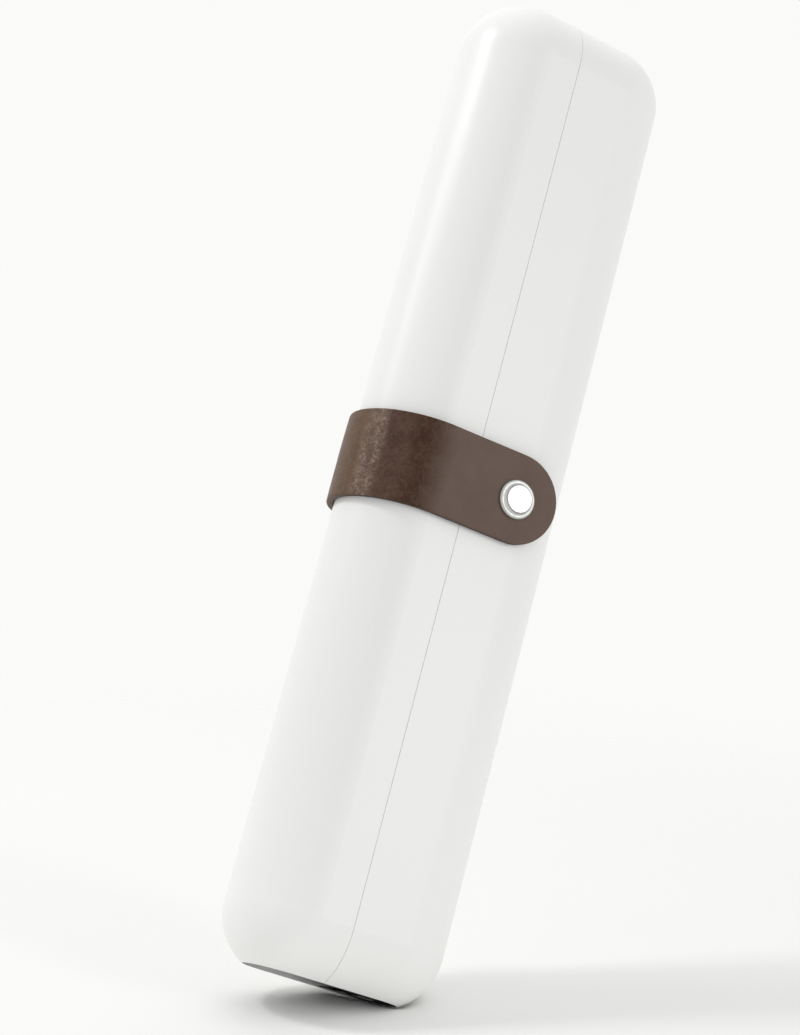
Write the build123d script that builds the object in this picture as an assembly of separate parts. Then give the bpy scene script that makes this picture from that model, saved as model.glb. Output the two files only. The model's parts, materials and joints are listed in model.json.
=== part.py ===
from build123d import *
import math
import os

# Upright pocket steriliser case for one toothbrush. The foot of the case is the plane Z = 0 and the
# length runs up Z. X is across the two flat faces, -Y is the narrow front nose, +Y the narrow back.
# A seam in an XZ plane parts the front lid from the rear half, and the lid swings on two barrel
# hinges on the -X face. A leather strap is riveted to the lid and closes with a magnetic clasp on +X.

# Case form
case_height = 210.0
case_depth = 46.6
case_thickness = 27.0
edge_land = 0.4
base_trim = 1.9
wall = 2.0
floor_height = 2.6
seam_y = -2.7
seam_gap = 0.06
seam_edge = 0.08

# Fits between pieces
touch_gap = 0.1
part_gap = 0.2
moving_gap = 0.3

# Tongue on the rear rim and its rebate in the lid
tongue_height = 1.0
tongue_thickness = 0.8
tongue_hinge_gap = 4.0

# Barrel hinges
hinge_offset = 1.0
knuckle_radius = 2.2
knuckle_length = 5.0
web_reach = 6.5
pin_radius = 0.8
pin_clearance = 0.05
hinge_end_gap = 50.0

# Foot plates
plate_land = 0.3
plate_thickness = 1.2

# Liners and light seal
liner_wall = 1.0
liner_floor = 1.2
tray_back_space = 18.3
rim_drop = 0.9
seal_width = 0.8
bay_low = 17.2
reflector_thickness = 0.4
reflector_top_gap = 14.0
reflector_length = 56.0
reflector_side_gap = 1.3

# Toothbrush supports
rest_low_z = 40.0
rest_offset = 4.0
rest_length = 6.0
rest_half_width = 6.5
rest_rise = 6.0
rest_notch_radius = 5.0
rest_notch_rise = 1.0
pad_half_width = 6.0
pad_nose_distance = 10.3
pad_notch_radius = 7.0
pad_notch_depth = 1.6

# Ultraviolet lamp group
window_top_gap = 44.0
window_width = 14.0
window_length = 36.0
window_thickness = 1.0
gasket_thickness = 0.4
window_ledge = 1.6
window_frame = 2.2
window_backing = 1.0
led_count = 4
led_pitch = 8.5
led_size = 3.5
led_height = 1.3
lens_share = 0.8
lens_top_share = 0.55
lens_shoulder_share = 0.4

# Circuit boards behind the tray
board_thickness = 1.2
lamp_board_width = 17.0
lamp_board_length = 42.0
main_board_width = 20.0
board_cell_gap = 11.0
board_spacing = 15.0
chip_height = 0.9
controller_size = 5.0
charger_size = 3.0
coil_size = 4.0
coil_height = 2.0
capacitor_radius = 2.0
capacitor_height = 4.5
post_radius = 1.3
stake_radius = 0.7
stake_inset = 2.0
stake_rise = 0.6
board_post_inset_z = 5.0
flex_width = 3.5
flex_thickness = 0.2
flex_overlap = 4.0

# Cell and holder
cell_radius = 5.0
cell_length = 44.0
cell_low = 27.0
cell_edge = 0.3
cell_button_radius = 2.0
cell_button_height = 1.0
holder_gap = 0.15
holder_thickness = 1.1
holder_end = 1.6
holder_spine_half = 4.0
holder_spine_thickness = 2.3
clip_length = 8.0
clip_mouth = 7.2
tab_width = 2.0
tab_thickness = 0.1
tab_x = -6.2

# Bosses and screws that carry the tray
boss_bay_rise = 3.8
boss_board_gap = 4.0
boss_top_gap = 9.0
boss_radius = 2.2
screw_radius = 0.9
screw_head_radius = 1.7
screw_head_height = 0.8
screw_length = 6.0
pilot_clearance = 0.1

# Board in the foot
foot_board_z = 10.5
foot_board_inset = 2.8
foot_board_setback = 2.2
foot_boss_x = 7.6
foot_boss_setback = 2.8
foot_boss_radius = 1.8
foot_screw_length = 4.5

# Charging socket
socket_width = 8.94
socket_height = 3.26
socket_sheet = 0.3
socket_recess = 1.0
socket_slot_gap = 0.15
tongue_width = 6.7
tongue_sheet = 0.7
tongue_recess = 1.2

# Push-button and switch
button_radius = 3.0
button_recess = 0.5
button_edge = 0.3
button_travel = 0.4
button_flange_radius = 3.9
button_flange_height = 0.9
button_stem_radius = 1.5
switch_size = 6.0
switch_height = 3.5
plunger_radius = 1.2
plunger_reach = 0.8
plunger_depth = 0.6

# Status light and closing sensor
light_button_distance = 5.4
light_radius = 0.6
light_recess = 0.1
status_led_size = 1.6
status_led_height = 0.8
sensor_x = -6.0
sensor_width = 3.0
sensor_depth = 1.2
sensor_height = 3.0
magnet_radius = 2.0
magnet_length = 2.0
magnet_cover = 1.2

# Leads from the foot board to the main board
lead_count = 3
lead_pitch = 1.0
lead_radius = 0.4
lead_x = 8.0
plug_width = 3.8
plug_depth = 2.0
plug_height = 2.8

# Strap and clasp
strap_z = 102.9
strap_width = 18.7
strap_thickness = 1.5
strap_gap = 0.2
strap_back_gap = 6.4
strap_fold_y = -6.0
strap_end_y = -5.4
rivet_y = -8.0
rivet_pitch = 10.6
rivet_head_radius = 2.0
rivet_head_height = 0.8
rivet_shank_radius = 0.9
rivet_crown_share = 0.6
rivet_shoulder_share = 0.35
washer_radius = 1.9
washer_thickness = 0.6
clasp_radius = 4.15
clasp_nose_offset = 0.1
clasp_drop = 0.3
clasp_top_radius = 2.8
clasp_height = 1.35
clasp_rim = 0.85
clasp_rim_round = 0.6
clasp_top_round = 0.2
clasp_post_radius = 1.1
clasp_magnet_radius = 3.2
clasp_magnet_thickness = 0.9
keeper_radius = 4.0
keeper_thickness = 1.0
keeper_recess = 0.2

# Places that follow from the sizes above
half_thickness = case_thickness / 2
edge_round = half_thickness - edge_land
end_centre_y = (case_depth - case_thickness) / 2
case_back_y = case_depth / 2
reach = case_height + case_depth
seam_back = seam_y + seam_gap / 2
seam_front = seam_y - seam_gap / 2
foot_centre_z = edge_round - base_trim
foot_half_width = edge_land + math.sqrt(edge_round**2 - foot_centre_z**2)
foot_inset = half_thickness - foot_half_width
tongue_start_x = tongue_hinge_gap - half_thickness
hinge_x = -(half_thickness + hinge_offset)
hinge_height = 3 * knuckle_length + 2 * moving_gap
hinge_heights = (hinge_end_gap, case_height - hinge_end_gap)
liner_inset = wall + part_gap
tray_half_width = half_thickness - liner_inset - liner_wall
tray_rim_y = seam_y + rim_drop
tray_depth_y = case_back_y - tray_back_space
tray_back_y = tray_depth_y + liner_floor
lid_rim_y = seam_y - 2 * part_gap
reflector_high = case_height - reflector_top_gap
reflector_low = reflector_high - reflector_length
reflector_half_width = tray_half_width - reflector_side_gap
pad_face_y = pad_nose_distance - case_depth / 2
window_z = case_height - window_top_gap
frame_back_y = tray_depth_y + window_thickness + gasket_thickness + touch_gap + window_backing
board_plane_y = frame_back_y + led_height + part_gap
board_back_y = board_plane_y + board_thickness
main_board_low = cell_low + cell_length + board_cell_gap
main_board_high = window_z - lamp_board_length / 2 - board_spacing
main_board_mid = (main_board_low + main_board_high) / 2
main_board_length = main_board_high - main_board_low
boss_heights = (bay_low + boss_bay_rise, main_board_low - boss_board_gap, main_board_high + boss_board_gap,
                case_height - boss_top_gap)
rest_heights = (rest_low_z, (boss_heights[1] + boss_heights[2]) / 2 + rest_offset)
spine_corner = math.sqrt((half_thickness - wall)**2 - holder_spine_half**2)
spine_back_y = end_centre_y + spine_corner - touch_gap
cell_y = spine_back_y - holder_spine_thickness - holder_gap - cell_radius
foot_board_top = foot_board_z + board_thickness
foot_board_front_y = seam_y + foot_board_setback
button_y = end_centre_y
socket_y = (tray_rim_y + liner_wall + button_y - button_radius - moving_gap) / 2
light_y = button_y + light_button_distance
lead_y = board_plane_y - plug_depth / 2
foot_boss_y = lead_y - foot_boss_setback
switch_low_z = foot_board_z - switch_height
strap_inner_x = half_thickness + strap_gap
strap_outer_x = strap_inner_x + strap_thickness
strap_tip_y = case_back_y - strap_back_gap
strap_round_y = strap_tip_y - strap_width / 2
clasp_y = strap_round_y - clasp_nose_offset
clasp_z = strap_z - clasp_drop


def block(x_low, x_high, y_low, y_high, z_low, z_high):
    """Box between two corners."""
    middle = ((x_low + x_high) / 2, (y_low + y_high) / 2, (z_low + z_high) / 2)
    return Pos(*middle) * Box(x_high - x_low, y_high - y_low, z_high - z_low)


def between(y_low=-reach, y_high=reach, z_low=-reach, z_high=reach, x_low=-reach, x_high=reach):
    """Slab that keeps what lies between the given planes."""
    return block(x_low, x_high, y_low, y_high, z_low, z_high)


def obround(inset):
    """Plan outline of the case, drawn in by inset."""
    return SlotOverall(case_depth - 2 * inset, case_thickness - 2 * inset, rotation=90)


def rod(radius, origin, direction, length):
    """Round bar that starts at origin and runs along direction."""
    return Plane(origin=origin, z_dir=direction).location * Cylinder(
        radius, length, align=(Align.CENTER, Align.CENTER, Align.MIN))


def turned(profile, origin, direction):
    """Turned solid: profile holds radius and height points, heights along direction from origin."""
    face = Plane.XZ * make_face(Polyline(*profile, close=True))
    return Plane(origin=origin, z_dir=direction).location * revolve(face, Axis.Z)


def case_form(inset):
    """Rounded outer form of the case drawn in by inset, before the foot is cut flat."""
    half = half_thickness - inset
    tall = case_height + base_trim - 2 * inset
    middle = (case_height - base_trim) / 2
    profile = Pos(0, middle) * RectangleRounded(2 * half, tall, edge_round - inset)
    half_profile = profile & Pos(half / 2, middle) * Rectangle(half, tall)
    straight = extrude(Plane.XZ * profile, end_centre_y, both=True)
    back_end = revolve(Plane.XZ * half_profile, Axis.Z, 180)
    front_end = mirror(back_end, about=Plane.XZ)
    return straight + Pos(0, end_centre_y, 0) * back_end + Pos(0, -end_centre_y, 0) * front_end


def hollow_half(rear):
    """One half of the shell with its flat foot, its outer edge softened along the seam."""
    outer = case_form(0) & between(z_low=0)
    cavity = case_form(wall) & between(z_low=floor_height)
    side = between(y_low=seam_back) if rear else between(y_high=seam_front)
    half = (outer - cavity) & side
    rim = half.faces().filter_by(Axis.Y)[0]
    return fillet(rim.outer_wire().edges(), seam_edge)


def plate_outline(clearance):
    """Plan of the recess in the foot, less a clearance."""
    return obround(foot_inset + plate_land + clearance)


def knuckle_spans():
    """Height ranges of the rear and of the lid knuckles."""
    rear = []
    lid = []
    for middle in hinge_heights:
        step = knuckle_length + moving_gap
        low = middle - hinge_height / 2
        rear += [(low, low + knuckle_length), (low + 2 * step, low + 2 * step + knuckle_length)]
        lid += [(low + step, low + step + knuckle_length)]
    return rear, lid


def knuckle(z_low, z_high, side):
    """Barrel with a tangent web that runs out on the flat face, side +1 for rear and -1 for lid."""
    foot = Vector(hinge_offset, web_reach)
    angle = math.atan2(foot.Y, foot.X) + math.acos(knuckle_radius / foot.length)
    tangent = Vector(math.cos(angle), math.sin(angle)) * knuckle_radius
    inner_x = hinge_offset + wall / 2
    web = Polyline(
        (0, 0), (tangent.X, tangent.Y), (foot.X, foot.Y), (inner_x, foot.Y), (inner_x, 0), close=True)
    section = Circle(knuckle_radius) + make_face(web)
    if side < 0:
        section = mirror(section, about=Plane.XZ)
    return extrude(Pos(hinge_x, seam_y, z_low) * section, z_high - z_low, dir=(0, 0, 1))


def hinge_relief(spans):
    """Room round the barrels of the other half."""
    radius = knuckle_radius + moving_gap
    return Compound([
        rod(radius, (hinge_x, seam_y, low - moving_gap), (0, 0, 1), high - low + 2 * moving_gap)
        for low, high in spans
    ])


def hinge_bores():
    """Bores of both hinges, as long as their barrels."""
    radius = pin_radius + pin_clearance
    return Compound([
        rod(radius, (hinge_x, seam_y, middle - hinge_height / 2), (0, 0, 1), hinge_height)
        for middle in hinge_heights
    ])


def tongue_band(outer_inset, inner_inset, y_low, growth):
    """Thin band round the rim, from above the foot, leaving out the hinge side."""
    band = case_form(outer_inset) - case_form(inner_inset)
    return band & between(
        y_low=y_low, y_high=seam_y + seam_gap, z_low=edge_round - growth, x_low=tongue_start_x - growth)


def foot_holes(extra):
    """Openings in the foot for the charging socket, the button and the status light."""
    mouth = SlotOverall(socket_width + 2 * socket_slot_gap, socket_height + 2 * socket_slot_gap)
    slot = extrude(Pos(0, socket_y) * mouth, floor_height + extra)
    button = rod(button_radius + moving_gap, (0, button_y, 0), (0, 0, 1), floor_height + extra)
    light = rod(light_radius + touch_gap, (0, light_y, 0), (0, 0, 1), floor_height + extra)
    return slot + button + light


def boss_row():
    """Bosses on the centre line that the tray is screwed to."""
    bosses = [
        rod(boss_radius, (0, tray_back_y, height), (0, 1, 0), case_back_y - wall / 2 - tray_back_y)
        for height in boss_heights
    ]
    pilots = [
        rod(screw_radius + pilot_clearance, (0, tray_back_y, height), (0, 1, 0), screw_length)
        for height in boss_heights
    ]
    return Compound(bosses), Compound(pilots)


def foot_bosses():
    """Two short bosses that carry the board in the foot."""
    bosses = Compound([
        rod(foot_boss_radius, (side * foot_boss_x, foot_boss_y, floor_height - wall / 2), (0, 0, 1),
            foot_board_z - floor_height + wall / 2)
        for side in (-1, 1)
    ])
    pilots = Compound([
        rod(screw_radius + pilot_clearance, (side * foot_boss_x, foot_boss_y, foot_board_z), (0, 0, -1),
            foot_screw_length)
        for side in (-1, 1)
    ])
    return bosses, pilots


def rear_shell():
    """Moulded rear half with rim tongue, knuckles, bosses and the keeper's recess."""
    rear_spans, lid_spans = knuckle_spans()
    shell = hollow_half(True)
    shell += tongue_band(wall - tongue_thickness, wall, seam_y - tongue_height, 0)
    inside = case_form(wall / 2) & between(y_low=seam_back, z_low=wall / 2)
    bosses, pilots = boss_row()
    shell += (bosses & inside) - pilots
    bosses, pilots = foot_bosses()
    shell += (bosses & inside) - pilots
    for low, high in rear_spans:
        shell += knuckle(low, high, 1)
    shell -= hinge_relief(lid_spans)
    shell -= hinge_bores()
    shell -= extrude(plate_outline(0), plate_thickness) & between(y_low=seam_y)
    shell -= foot_holes(wall)
    recess_x = half_thickness - keeper_thickness - keeper_recess
    return shell - rod(keeper_radius + touch_gap, (recess_x, clasp_y, clasp_z), (1, 0, 0), wall)


def front_shell():
    """Moulded lid with rim rebate, knuckles and rivet holes."""
    rear_spans, lid_spans = knuckle_spans()
    shell = hollow_half(False)
    rebate_low = seam_y - tongue_height - moving_gap
    shell -= tongue_band(wall - tongue_thickness - part_gap, wall + part_gap, rebate_low, 2 * part_gap)
    for low, high in lid_spans:
        shell += knuckle(low, high, -1)
    shell -= hinge_relief(rear_spans)
    shell -= hinge_bores()
    shell -= extrude(plate_outline(0), plate_thickness) & between(y_high=seam_y)
    outside = -half_thickness - wall
    washer_seat = -(half_thickness - wall) - washer_thickness - touch_gap
    for height in rivet_heights():
        shell -= rod(rivet_shank_radius + touch_gap, (outside, rivet_y, height), (1, 0, 0), 2 * wall)
        shell -= rod(washer_radius + touch_gap, (washer_seat, rivet_y, height), (1, 0, 0), wall)
    return shell


def base_plate(rear):
    """Half of the polished foot plate, bonded into its recess."""
    plate = extrude(plate_outline(touch_gap), plate_thickness)
    if rear:
        return (plate & between(y_low=seam_back)) - foot_holes(0)
    return plate & between(y_high=seam_front)


def hinge_pins():
    """Steel pins, one in each hinge."""
    return [
        rod(pin_radius, (hinge_x, seam_y, middle - hinge_height / 2), (0, 0, 1), hinge_height)
        for middle in hinge_heights
    ]


def lamp_post_places():
    """Centres of the stakes of the lamp board."""
    x = lamp_board_width / 2 - stake_inset
    z = lamp_board_length / 2 - stake_inset
    return [(sx * x, window_z + sz * z) for sx in (-1, 1) for sz in (-1, 1)]


def main_post_places():
    """Centres of the stakes of the main board."""
    x = main_board_width / 2 - stake_inset
    z = (main_board_high - main_board_low) / 2 - board_post_inset_z
    return [(sx * x, main_board_mid + sz * z) for sx in (-1, 1) for sz in (-1, 1)]


def window_box(margin, y_low, y_high):
    """Upright rectangular prism on the window's centre, margin wider than the glass on each side."""
    half_x = window_width / 2 + margin
    half_z = window_length / 2 + margin
    return block(-half_x, half_x, y_low, y_high, window_z - half_z, window_z + half_z)


def rear_liner():
    """Tray that lines the rear half, with the lamp window's frame and the stakes of both boards."""
    tray = case_form(liner_inset) & between(
        y_low=tray_rim_y, y_high=tray_back_y, z_low=floor_height + part_gap)
    tray -= case_form(liner_inset + liner_wall) & between(y_high=tray_depth_y, z_low=bay_low)
    tray -= between(y_low=tray_rim_y + liner_wall, z_high=bay_low - liner_floor)
    tray += window_box(window_frame, tray_depth_y, frame_back_y)
    for x, z in lamp_post_places() + main_post_places():
        tray += rod(post_radius, (x, tray_depth_y + liner_floor / 2, z), (0, 1, 0),
                    board_plane_y - tray_depth_y - liner_floor / 2)
        tray += rod(stake_radius, (x, tray_back_y, z), (0, 1, 0), board_back_y + stake_rise - tray_back_y)
    seat_y = frame_back_y - window_backing
    tray -= window_box(touch_gap, tray_depth_y, seat_y)
    tray -= window_box(-window_ledge, tray_depth_y, frame_back_y)
    for height in boss_heights:
        tray -= rod(screw_radius + pilot_clearance, (0, tray_depth_y, height), (0, 1, 0), liner_floor)
    return tray


def light_seal():
    """Silicone seal on the tray's rim that keeps the lamp's light in."""
    ring = case_form(liner_inset + touch_gap) - case_form(liner_inset + touch_gap + seal_width)
    return ring & between(y_low=seam_y + touch_gap, y_high=tray_rim_y, z_low=bay_low)


def rear_reflector():
    """Polished sheet on the tray floor round the window."""
    front_y = tray_depth_y - reflector_thickness
    sheet = block(-reflector_half_width, reflector_half_width, front_y, tray_depth_y,
                  reflector_low, reflector_high)
    return sheet - window_box(part_gap, tray_depth_y - wall, tray_depth_y)


def uv_window():
    """Quartz cover of the lamps."""
    seat_y = frame_back_y - window_backing
    return window_box(0, seat_y - gasket_thickness - window_thickness, seat_y - gasket_thickness)


def window_gasket():
    """Flat seal behind the quartz cover."""
    seat_y = frame_back_y - window_backing
    return window_box(0, seat_y - gasket_thickness, seat_y) - window_box(-window_ledge, seat_y - wall, seat_y)


def uv_leds():
    """Row of ultraviolet emitters, each with a domed lens."""
    leds = []
    for index in range(led_count):
        z = window_z + (index - (led_count - 1) / 2) * led_pitch
        half = led_size / 2
        body = block(-half, half, board_plane_y - led_height / 2, board_plane_y, z - half, z + half)
        lens = turned(
            [(0, 0), (half * lens_share, 0), (half * lens_top_share, led_height * lens_shoulder_share),
             (0, led_height / 2)],
            (0, board_plane_y - led_height / 2, z), (0, -1, 0))
        leds.append(body + lens)
    return leds


def staked_board(width, low, high, posts):
    """Circuit board with a clearance hole for each stake."""
    board = block(-width / 2, width / 2, board_plane_y, board_back_y, low, high)
    for x, z in posts:
        board -= rod(stake_radius + touch_gap, (x, board_plane_y, z), (0, 1, 0), board_thickness)
    return board


def uv_board():
    """Lamp board behind the window."""
    half = lamp_board_length / 2
    return staked_board(lamp_board_width, window_z - half, window_z + half, lamp_post_places())


def main_board():
    """Timer and charger board."""
    return staked_board(main_board_width, main_board_low, main_board_high, main_post_places())


def board_chips():
    """Larger parts on the back of the main board: controller, charger, coil and capacitor."""
    def place(x_share, z_share):
        return x_share * main_board_width, main_board_mid + z_share * main_board_length

    def chip(x_share, z_share, size, height):
        x, z = place(x_share, z_share)
        half = size / 2
        return block(x - half, x + half, board_back_y, board_back_y + height, z - half, z + half)

    x, z = place(0.25, 0.21)
    return [chip(0, 0, controller_size, chip_height), chip(-0.23, -0.21, charger_size, chip_height),
            chip(0.18, -0.23, coil_size, coil_height),
            rod(capacitor_radius, (x, board_back_y, z), (0, 1, 0), capacitor_height)]


def uv_flex():
    """Flat cable from the main board to the lamp board, clear of the boss between them."""
    low = main_board_high - flex_overlap
    high = window_z - lamp_board_length / 2 + flex_overlap
    x_low = boss_radius + part_gap
    return block(x_low, x_low + flex_width, board_back_y, board_back_y + flex_thickness, low, high)


def plug_block(z_low):
    """Lead plug that stands between the tray's back and the board plane."""
    body = Box(plug_width, plug_depth, plug_height, align=(Align.CENTER, Align.CENTER, Align.MIN))
    return Pos(lead_x, lead_y, z_low) * body


def lead_plugs():
    """Plug on the foot board and plug on the main board."""
    return [plug_block(foot_board_top), plug_block(main_board_low)]


def lead_wires():
    """Leads from plug to plug past the cell."""
    low = foot_board_top + plug_height
    return [
        rod(lead_radius, (lead_x + (index - (lead_count - 1) / 2) * lead_pitch, lead_y, low), (0, 0, 1),
            main_board_low - low)
        for index in range(lead_count)
    ]


def battery_cell():
    """Round lithium cell with its raised top contact."""
    body = rod(cell_radius, (0, cell_y, cell_low), (0, 0, 1), cell_length - cell_button_height)
    body = chamfer(body.edges(), cell_edge)
    return body + rod(cell_button_radius, (0, cell_y, cell_low), (0, 0, 1), cell_length)


def battery_holder():
    """Spine with end stops and two sprung clips round the cell."""
    inner = cell_radius + holder_gap
    outer = inner + holder_thickness
    low = cell_low - holder_gap - holder_end
    high = cell_low + cell_length + holder_gap + holder_end
    spine_y = cell_y + inner
    spine = block(-holder_spine_half, holder_spine_half, spine_y, spine_back_y, low, high)
    ends = Compound([
        block(-holder_spine_half, holder_spine_half, cell_y, spine_back_y, z, z + holder_end)
        for z in (low, high - holder_end)
    ])
    holder = spine + ends
    for share in (0.25, 0.75):
        z = cell_low + share * cell_length - clip_length / 2
        ring = rod(outer, (0, cell_y, z), (0, 0, 1), clip_length)
        ring -= rod(inner, (0, cell_y, z), (0, 0, 1), clip_length)
        mouth = block(-clip_mouth / 2, clip_mouth / 2, cell_y - 2 * outer, cell_y, z, z + clip_length)
        holder += ring - mouth
    return holder - rod(inner, (0, cell_y, cell_low), (0, 0, 1), cell_length)


def cell_tabs():
    """Nickel strips from both cell ends to the back of the main board."""
    top = cell_low + cell_length
    reach_z = main_board_low + flex_overlap
    upper = block(tab_x, cell_button_radius / 2, board_back_y, cell_y + tab_width / 2,
                  top, top + tab_thickness)
    upper += block(tab_x, tab_x + tab_width, board_back_y, board_back_y + tab_thickness, top, reach_z)
    side_x = -(cell_radius + holder_gap + holder_thickness + moving_gap)
    side = side_x - tab_thickness
    depth = board_back_y + tab_width
    lower = block(side, side_x, board_back_y, depth, cell_low - tab_thickness, reach_z)
    lower += block(side, -cell_radius / 2, board_back_y, depth, cell_low - tab_thickness, cell_low)
    return [upper, lower]


def base_board():
    """Board in the foot for socket, switch, status light and closing sensor."""
    board = extrude(Pos(0, 0, foot_board_z) * obround(foot_board_inset), board_thickness)
    board &= between(y_low=foot_board_front_y)
    radius = screw_radius + pilot_clearance
    for side in (-1, 1):
        board -= rod(radius, (side * foot_boss_x, foot_boss_y, foot_board_z), (0, 0, 1), board_thickness)
    return board


def screw(seat, direction, length):
    """Pan-head screw whose head seats at the given point and whose shank runs along direction."""
    away = tuple(-value for value in direction)
    crown = screw_head_radius * 0.6
    head = turned([(0, 0), (screw_head_radius, 0), (screw_head_radius, screw_head_height / 2),
                   (crown, screw_head_height), (0, screw_head_height)], seat, away)
    return head + rod(screw_radius, seat, direction, length)


def liner_screws():
    """Screws through the tray floor into the shell's bosses."""
    return [screw((0, tray_depth_y, height), (0, 1, 0), screw_length) for height in boss_heights]


def board_screws():
    """Screws that hold the foot board."""
    return [screw((side * foot_boss_x, foot_boss_y, foot_board_top), (0, 0, -1), foot_screw_length)
            for side in (-1, 1)]


def usb_socket():
    """Sheet-metal shell of the charging socket."""
    depth = foot_board_z - socket_recess
    outer = extrude(Pos(0, socket_y, socket_recess) * SlotOverall(socket_width, socket_height), depth)
    room = SlotOverall(socket_width - 2 * socket_sheet, socket_height - 2 * socket_sheet)
    inner = extrude(Pos(0, socket_y, socket_recess) * room, depth - socket_sheet)
    return outer - inner


def usb_tongue():
    """Contact tongue inside the socket."""
    half = tongue_width / 2
    low = socket_recess + tongue_recess
    return block(-half, half, socket_y - tongue_sheet / 2, socket_y + tongue_sheet / 2,
                 low, foot_board_z - socket_sheet)


def tact_switch():
    """Switch under the foot board, open at the plunger."""
    half = switch_size / 2
    body = block(-half, half, button_y - half, button_y + half, switch_low_z, foot_board_z)
    depth = plunger_depth + button_travel + 2 * moving_gap
    return body - rod(plunger_radius + moving_gap, (0, button_y, switch_low_z), (0, 0, 1), depth)


def power_button():
    """Button cap with the flange that keeps it in and the stem that reaches the switch."""
    flange_low = floor_height
    flange_high = flange_low + button_flange_height
    return turned(
        [(0, button_recess), (button_radius - button_edge, button_recess),
         (button_radius, button_recess + button_edge),
         (button_radius, flange_low), (button_flange_radius, flange_low), (button_flange_radius, flange_high),
         (button_stem_radius, flange_high), (button_stem_radius, switch_low_z - plunger_reach),
         (0, switch_low_z - plunger_reach)],
        (0, button_y, 0), (0, 0, 1))


def switch_plunger():
    """Plunger of the switch, which travels with the button."""
    low = switch_low_z - plunger_reach
    return rod(plunger_radius, (0, button_y, low), (0, 0, 1), plunger_reach + plunger_depth)


def status_led():
    """Small lamp under the foot board."""
    half = status_led_size / 2
    return block(-half, half, light_y - half, light_y + half, foot_board_z - status_led_height, foot_board_z)


def light_guide():
    """Clear rod that brings the status light to the foot."""
    top = foot_board_z - status_led_height - touch_gap
    collar_low = floor_height + touch_gap
    return turned([(0, light_recess), (light_radius, light_recess), (light_radius, collar_low),
                   (2 * light_radius, collar_low), (2 * light_radius, top), (0, top)],
                  (0, light_y, 0), (0, 0, 1))


def hall_sensor():
    """Sensor that stops the lamps while the lid is open."""
    half = sensor_width / 2
    return block(sensor_x - half, sensor_x + half, foot_board_front_y, foot_board_front_y + sensor_depth,
                 foot_board_top, foot_board_top + sensor_height)


def brush_rests():
    """Silicone saddles that hold the handle off the tray."""
    rests = []
    for z in rest_heights:
        rest = block(-rest_half_width, rest_half_width, tray_depth_y - rest_rise, tray_depth_y,
                     z - rest_length / 2, z + rest_length / 2)
        notch_y = tray_depth_y - rest_rise - rest_notch_rise
        rest -= rod(rest_notch_radius, (0, notch_y, z - rest_length), (0, 0, 1), 2 * rest_length)
        rests.append(rest)
    return rests


def keeper_disc():
    """Steel disc in the rear half that the clasp's magnet holds."""
    inner_x = half_thickness - keeper_thickness - keeper_recess
    return rod(keeper_radius, (inner_x, clasp_y, clasp_z), (1, 0, 0), keeper_thickness)


def magnet_z():
    """Height of the closing sensor and of the magnet that faces it."""
    return foot_board_top + sensor_height / 2


def lid_liner():
    """Liner of the lid with the pocket of the closing magnet."""
    low = floor_height + part_gap
    liner = case_form(liner_inset) & between(y_high=lid_rim_y, z_low=low)
    liner -= case_form(liner_inset + liner_wall) & between(z_low=low + liner_wall)
    side = magnet_radius + magnet_cover
    pocket = block(-half_thickness, sensor_x + side, lid_rim_y - magnet_length - magnet_cover, lid_rim_y,
                   magnet_z() - side, magnet_z() + side)
    liner += pocket & case_form(liner_inset + liner_wall / 2)
    return liner - rod(magnet_radius + touch_gap, (sensor_x, lid_rim_y, magnet_z()), (0, -1, 0),
                       magnet_length + touch_gap)


def lid_magnet():
    """Magnet that tells the sensor that the lid is shut."""
    return rod(magnet_radius, (sensor_x, lid_rim_y - touch_gap, magnet_z()), (0, -1, 0), magnet_length)


def lid_reflector():
    """Polished sheet bent to the inside of the lid liner."""
    inset = liner_inset + liner_wall + touch_gap
    sheet = case_form(inset) - case_form(inset + reflector_thickness)
    return sheet & between(y_high=lid_rim_y - liner_wall, z_low=reflector_low, z_high=reflector_high)


def lid_pads():
    """Soft pads that press the handle into its rests when the lid shuts."""
    inset = liner_inset + liner_wall + touch_gap
    pads = []
    for z in rest_heights:
        low = z - rest_length / 2
        room = between(y_high=pad_face_y, z_low=low, z_high=low + rest_length,
                       x_low=-pad_half_width, x_high=pad_half_width)
        pad = case_form(inset) & room
        notch_y = pad_face_y + pad_notch_radius - pad_notch_depth
        pads.append(pad - rod(pad_notch_radius, (0, notch_y, low - rest_length), (0, 0, 1), 3 * rest_length))
    return pads


def strap_sleeve():
    """Closed sleeve of strap leather round the case."""
    outer = obround(-strap_gap - strap_thickness)
    inner = obround(-strap_gap)
    return extrude(Pos(0, 0, strap_z - strap_width / 2) * (outer - inner), strap_width)


def rivet_heights():
    """Heights of the two rivets on the strap's fixed end."""
    return (strap_z - rivet_pitch / 2, strap_z + rivet_pitch / 2)


def strap_band():
    """Fixed stretch of the strap, from the rivets round the nose to the fold."""
    band = strap_sleeve() & between(y_high=strap_end_y)
    band -= between(y_low=strap_fold_y - touch_gap, x_low=0)
    radius = rivet_shank_radius + touch_gap
    for height in rivet_heights():
        band -= rod(radius, (-strap_outer_x, rivet_y, height), (1, 0, 0), strap_thickness)
    return band


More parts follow.
